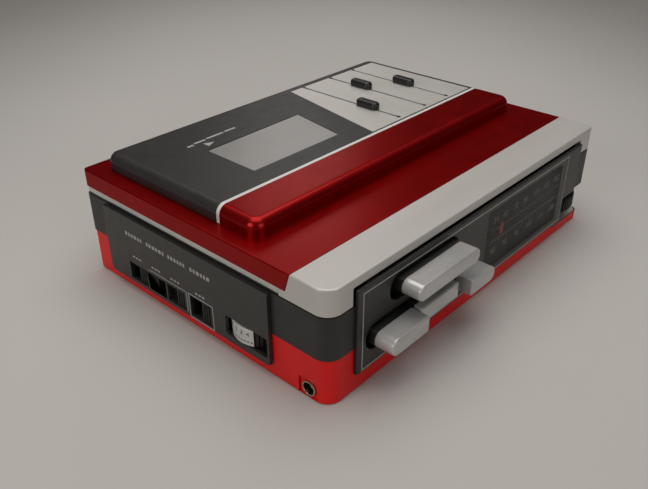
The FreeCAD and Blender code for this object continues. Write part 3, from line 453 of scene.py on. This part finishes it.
# painted shadow: the side trim is dark below 30 mm
lower_lip(soft_pieces["side_trim"], 0.0300, M["black_case"])
# painted shade inside the lower shell and round its openings
dark_inside(soft_pieces["lower_shell"], 0.07140, 0.05290, 0.0024, M["inner_black"])

# ---------------------------------------------------------------- printed lines
rnd = random.Random(7)
decal("panel_frame_line", "F", -54.6, frame_bars(-60.0, 52.3, 7.3, 32.2, 0.34), M["print_mid"], "chassis")

# a rule of small plain bars along the switch plate, and a short dash over each switch
bars = []
y = 31.7
k = 0
while y > -9.0:
    wdt = rnd.choice((0.8, 1.0, 1.3))
    if k % 7 != 6:
        bars.append(bar(y - wdt, y, 21.85, 23.1))
    y -= wdt + 0.55
    k += 1
for c in (27.2, 17.5, 8.0, -3.7):
    for d in (-1.6, 0.0, 1.6):
        bars.append(bar(c + d - 0.55, c + d + 0.55, 14.35, 14.95))
decal("switch_plate_bars", "L", -73.2, bars, M["print_mid"], "chassis")
lines = [bar(2.75, 21.5, 12.9, 13.15), bar(2.65, 2.95, 5.9, 13.15)]
decal("switch_plate_line", "L", -73.2, lines, M["print_mid"], "chassis", thick=0.03)
decal("switch_outline", "L", -73.2, frame_bars(-9.15, 1.75, 4.65, 13.15, 0.3), M["print_mid"], "chassis")

# dial: tick rows and plain numbers
ticks = [bar(3.2, 47.0, 22.75, 22.87), bar(3.2, 47.0, 19.13, 19.25)]
for i in range(45):
    x = 3.4 + i * 0.99
    h = 1.5 if i % 5 == 0 else 0.8
    ticks.append(bar(x - 0.09, x + 0.09, 22.87, 22.87 + h))
    ticks.append(bar(x - 0.09, x + 0.09, 19.13 - h, 19.13))
decal("dial_ticks", "F", -54.55, ticks, M["print_dial"], "chassis", thick=0.03)
row1 = [("54", 5.0), ("60", 10.6), ("70", 17.2), ("80", 23.4), ("100", 30.6), ("120", 37.2), ("160", 44.6)]
row2 = [("88", 5.0), ("92", 12.6), ("96", 20.2), ("100", 28.2), ("104", 36.2), ("108", 44.2)]
numbers("dial_numbers", [(t, x, 26.6, 3.0) for t, x in row1] + [(t, x, 15.2, 3.0) for t, x in row2], -54.57,
        M["print_dial"], "chassis")

# a plain arrow and a short dash beside the tape window
decal("tape_arrow", "T", 43.0, [[(-41.2, 26.4), (-41.2, 29.4), (-37.6, 27.9)], bar(-46.5, -44.0, 30.2, 31.2),
                                bar(-43.2, -38.6, 30.9, 31.9), bar(-37.8, -30.5, 31.3, 32.3), bar(-29.7, -25.0, 31.5, 32.5)],
      M["print_mid"], "lid")

# end dots of the slider slots
dots = []
for ex in (20.5, 36.0, 49.8):
    for cy in (-3.6, 42.4):
        dots.append([(ex + 0.75 * math.cos(2 * math.pi * i / 12), cy + 0.75 * math.sin(2 * math.pi * i / 12)) for i in range(12)])
decal("slot_end_dots", "T", 43.0, dots, M["knob_black"], "lid", thick=0.03)

# ---------------------------------------------------------------- thumb wheels
lo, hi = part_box("volume_wheel")
cx, cy = (lo.x + hi.x) / 2 / MM, (lo.y + hi.y) / 2 / MM
z0, z1 = lo.z / MM, hi.z / MM
me = wheel("volume_wheel_knurled", cx, cy, [(1.6, z0 + 0.02, 0), (7.6, z0 + 0.02, 0), (7.8, z0 - 0.2, 0), (9.1, z0 - 0.2, 0.3), (9.38, z0 + 0.2, 1),
                                            (9.38, z1 - 0.1, 1), (9.1, z1 + 0.2, 0.3), (7.8, z1 + 0.2, 0), (7.6, z1 - 0.02, 0),
                                            (1.6, z1 - 0.02, 0)],
           44, 0.6, 0.4)
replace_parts(link("volume_wheel_knurled", me, "volume", M["wheel_black"]), "volume_wheel")


def band(name, cx, cy, r0, r1, z0, z1, a0, a1, steps, mat, body, edge=0.3):
    """A curved label round part of a wheel, with rounded upper and lower edges."""
    prof = [(r0, z0), (r1 - edge, z0), (r1, z0 + edge), (r1, z1 - edge), (r1 - edge, z1), (r0, z1)]
    bm = bmesh.new()
    rows = []
    for i in range(steps + 1):
        a = math.radians(a0 + (a1 - a0) * i / steps)
        rows.append([bm.verts.new(Vector((cx + r * math.cos(a), cy + r * math.sin(a), z)) * MM) for r, z in prof])
    n = len(prof)
    for a, b in zip(rows, rows[1:]):
        for i in range(n):
            bm.faces.new((a[i], a[(i + 1) % n], b[(i + 1) % n], b[i]))
    bm.faces.new(rows[0])
    bm.faces.new(list(reversed(rows[-1])))
    bmesh.ops.recalc_face_normals(bm, faces=bm.faces)
    me = bpy.data.meshes.new(name)
    bm.to_mesh(me)
    bm.free()
    smooth(me, 30.0)
    return link(name, me, body, mat)


band("volume_scale_band", cx, cy, 7.7, 9.43, z0 - 0.25, z1 + 0.25, 112.0, 207.0, 32, M["wheel_light"], "volume")


def round_digits(name, cx, cy, r, zc, size, items, mat, body):
    """Plain scale digits standing on a wheel's rim: (text, angle in degrees)."""
    bm = bmesh.new()
    for text, ang in items:
        cu = bpy.data.curves.new(name, "FONT")
        cu.body = text
        cu.size = size * MM
        cu.extrude = 0.00004
        cu.align_x = "CENTER"
        cu.align_y = "CENTER"
        cu.resolution_u = 3
        ob = bpy.data.objects.new(name + "_t", cu)
        scene.collection.objects.link(ob)
        bpy.context.view_layer.update()
        me = bpy.data.meshes.new_from_object(ob.evaluated_get(bpy.context.evaluated_depsgraph_get()))
        a = math.radians(ang)
        out = Vector((math.cos(a), math.sin(a), 0))
        along = Vector((0, 0, 1)).cross(out)
        m = Matrix((along, Vector((0, 0, 1)), out)).transposed().to_4x4()
        m.translation = Vector((cx, cy, zc)) * MM + out * r * MM
        me.transform(m)
        bm.from_mesh(me)
        bpy.data.objects.remove(ob)
        bpy.data.curves.remove(cu)
        bpy.data.meshes.remove(me)
    me = bpy.data.meshes.new(name)
    bm.to_mesh(me)
    bm.free()
    return link(name, me, body, mat)


round_digits("volume_digits", cx, cy, 9.43, (z0 + z1) / 2 + 1.2, 1.9,
             [(str(k), 140.0 + 14.0 * k) for k in range(1, 5)], M["switch_black"], "volume")
round_digits("volume_marks", cx, cy, 9.43, (z0 + z1) / 2 - 1.1, 3.0,
             [("-", 133.0 + 7.0 * k) for k in range(1, 11)], M["switch_black"], "volume")

lo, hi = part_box("tuning_wheel")
cx, cy = (lo.x + hi.x) / 2 / MM, (lo.y + hi.y) / 2 / MM
me = wheel("tuning_wheel_knurled", cx, cy, [(1.5, 8.3, 0), (11.2, 8.3, 0), (11.5, 8.5, 0.5), (11.76, 8.9, 1), (11.76, 13.2, 1),
                                            (11.5, 13.6, 0.5), (11.2, 13.78, 0), (7.2, 13.78, 0), (6.9, 13.5, 0), (1.5, 13.5, 0),
                                            (1.5, 19.9, 0)], 60, 0.5, 0.4)
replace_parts(link("tuning_wheel_knurled", me, "tuning", M["wheel_black"]), "tuning_wheel")
# light plate on the shelf under the tuning wheel
decal("tuning_shelf_plate", "T", 3.6, [[(50.3, -52.9), (69.3, -52.9), (71.3, -51.0), (71.3, -33.3), (50.3, -33.3)]], M["silver_trim"],
      "chassis", thick=0.25)


# ---------------------------------------------------------------- floor and light
def floor_material():
    """Pale card with a painted pool of light: a little darker away from the object."""
    m = material("floor", (0.50, 0.475, 0.450), 0.8, vary=0.015, scale=8.0, grain=0.05, grain_scale=500, specular=0.2)
    nt = m.node_tree
    bsdf = [n for n in nt.nodes if n.type == "BSDF_PRINCIPLED"][0]
    src = bsdf.inputs["Base Color"].links[0].from_socket
    tc = nt.nodes.new("ShaderNodeTexCoord")
    mp = nt.nodes.new("ShaderNodeMapping")
    mp.inputs["Location"].default_value = FLOOR_LIGHT_POOL_AT
    mp.inputs["Rotation"].default_value = (0, 0, math.radians(FLOOR_LIGHT_POOL_TURN))
    mp.inputs["Scale"].default_value = FLOOR_LIGHT_POOL_SCALE
    mp.vector_type = "TEXTURE"
    nt.links.new(tc.outputs["Object"], mp.inputs["Vector"])
    ln = nt.nodes.new("ShaderNodeVectorMath")
    ln.operation = "LENGTH"
    nt.links.new(mp.outputs[0], ln.inputs[0])
    rg = nt.nodes.new("ShaderNodeMapRange")
    rg.interpolation_type = "SMOOTHSTEP"
    for k, v in enumerate((0.50, 1.60, 1.0, 0.60)):
        rg.inputs[1 + k].default_value = v
    nt.links.new(ln.outputs["Value"], rg.inputs[0])
    mul = nt.nodes.new("ShaderNodeVectorMath")
    mul.operation = "SCALE"
    nt.links.new(src, mul.inputs[0])
    nt.links.new(rg.outputs[0], mul.inputs["Scale"])
    nt.links.new(mul.outputs[0], bsdf.inputs["Base Color"])
    return m


# centre, turn and spread of the painted pool of light on the floor
FLOOR_LIGHT_POOL_AT = (0.02, 0.03, 0.0)
FLOOR_LIGHT_POOL_TURN = -47.6
FLOOR_LIGHT_POOL_SCALE = (0.20, 0.40, 1.0)


def make_floor():
    bm = bmesh.new()
    bmesh.ops.create_grid(bm, x_segments=2, y_segments=2, size=4.0)
    me = bpy.data.meshes.new("floor")
    bm.to_mesh(me)
    bm.free()
    ob = bpy.data.objects.new("floor", me)
    ob.location.z = -0.00002
    scene.collection.objects.link(ob)
    me.materials.append(floor_material())
    ob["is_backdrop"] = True


make_floor()


def area(name, loc, target, sx, sy, power, color=(1, 1, 1)):
    data = bpy.data.lights.new(name, "AREA")
    data.shape = "RECTANGLE"
    data.size, data.size_y = sx, sy
    data.energy = power
    data.color = color
    ob = bpy.data.objects.new(name, data)
    ob.location = loc
    ob.rotation_mode = "QUATERNION"
    ob.rotation_quaternion = (Vector(loc) - Vector(target)).to_track_quat("Z", "Y")
    scene.collection.objects.link(ob)
    return ob


area("top_soft", (0.05, 0.05, 0.60), (0.0, 0.0, 0.0), 0.62, 0.62, 2.6, (1.0, 0.985, 0.96))
area("back_soft", (0.545, 0.565, 0.455), (-0.06, -0.02, 0.04), 0.17, 0.25, 0.175, (1.0, 0.985, 0.965))
area("left_soft", (-0.75, 0.05, 0.34), (0.0, 0.0, 0.02), 0.45, 0.35, 1.75, (1.0, 0.985, 0.965))
area("front_soft", (-0.10, -0.85, 0.32), (0.0, 0.0, 0.02), 0.55, 0.35, 1.25, (1.0, 0.985, 0.965))

world = bpy.data.worlds.new("studio")
scene.world = world
world.use_nodes = True
bg = world.node_tree.nodes["Background"]
bg.inputs[0].default_value = (1.0, 0.975, 0.945, 1.0)
# the room is darker low down than overhead
wt = world.node_tree
tc = wt.nodes.new("ShaderNodeTexCoord")
sep = wt.nodes.new("ShaderNodeSeparateXYZ")
wt.links.new(tc.outputs["Generated"], sep.inputs[0])
rg = wt.nodes.new("ShaderNodeMapRange")
rg.interpolation_type = "SMOOTHSTEP"
for k, v in enumerate((0.42, 0.80, 0.03, 0.24)):
    rg.inputs[1 + k].default_value = v
wt.links.new(sep.outputs[2], rg.inputs[0])
wt.links.new(rg.outputs[0], bg.inputs[1])

lo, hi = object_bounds()
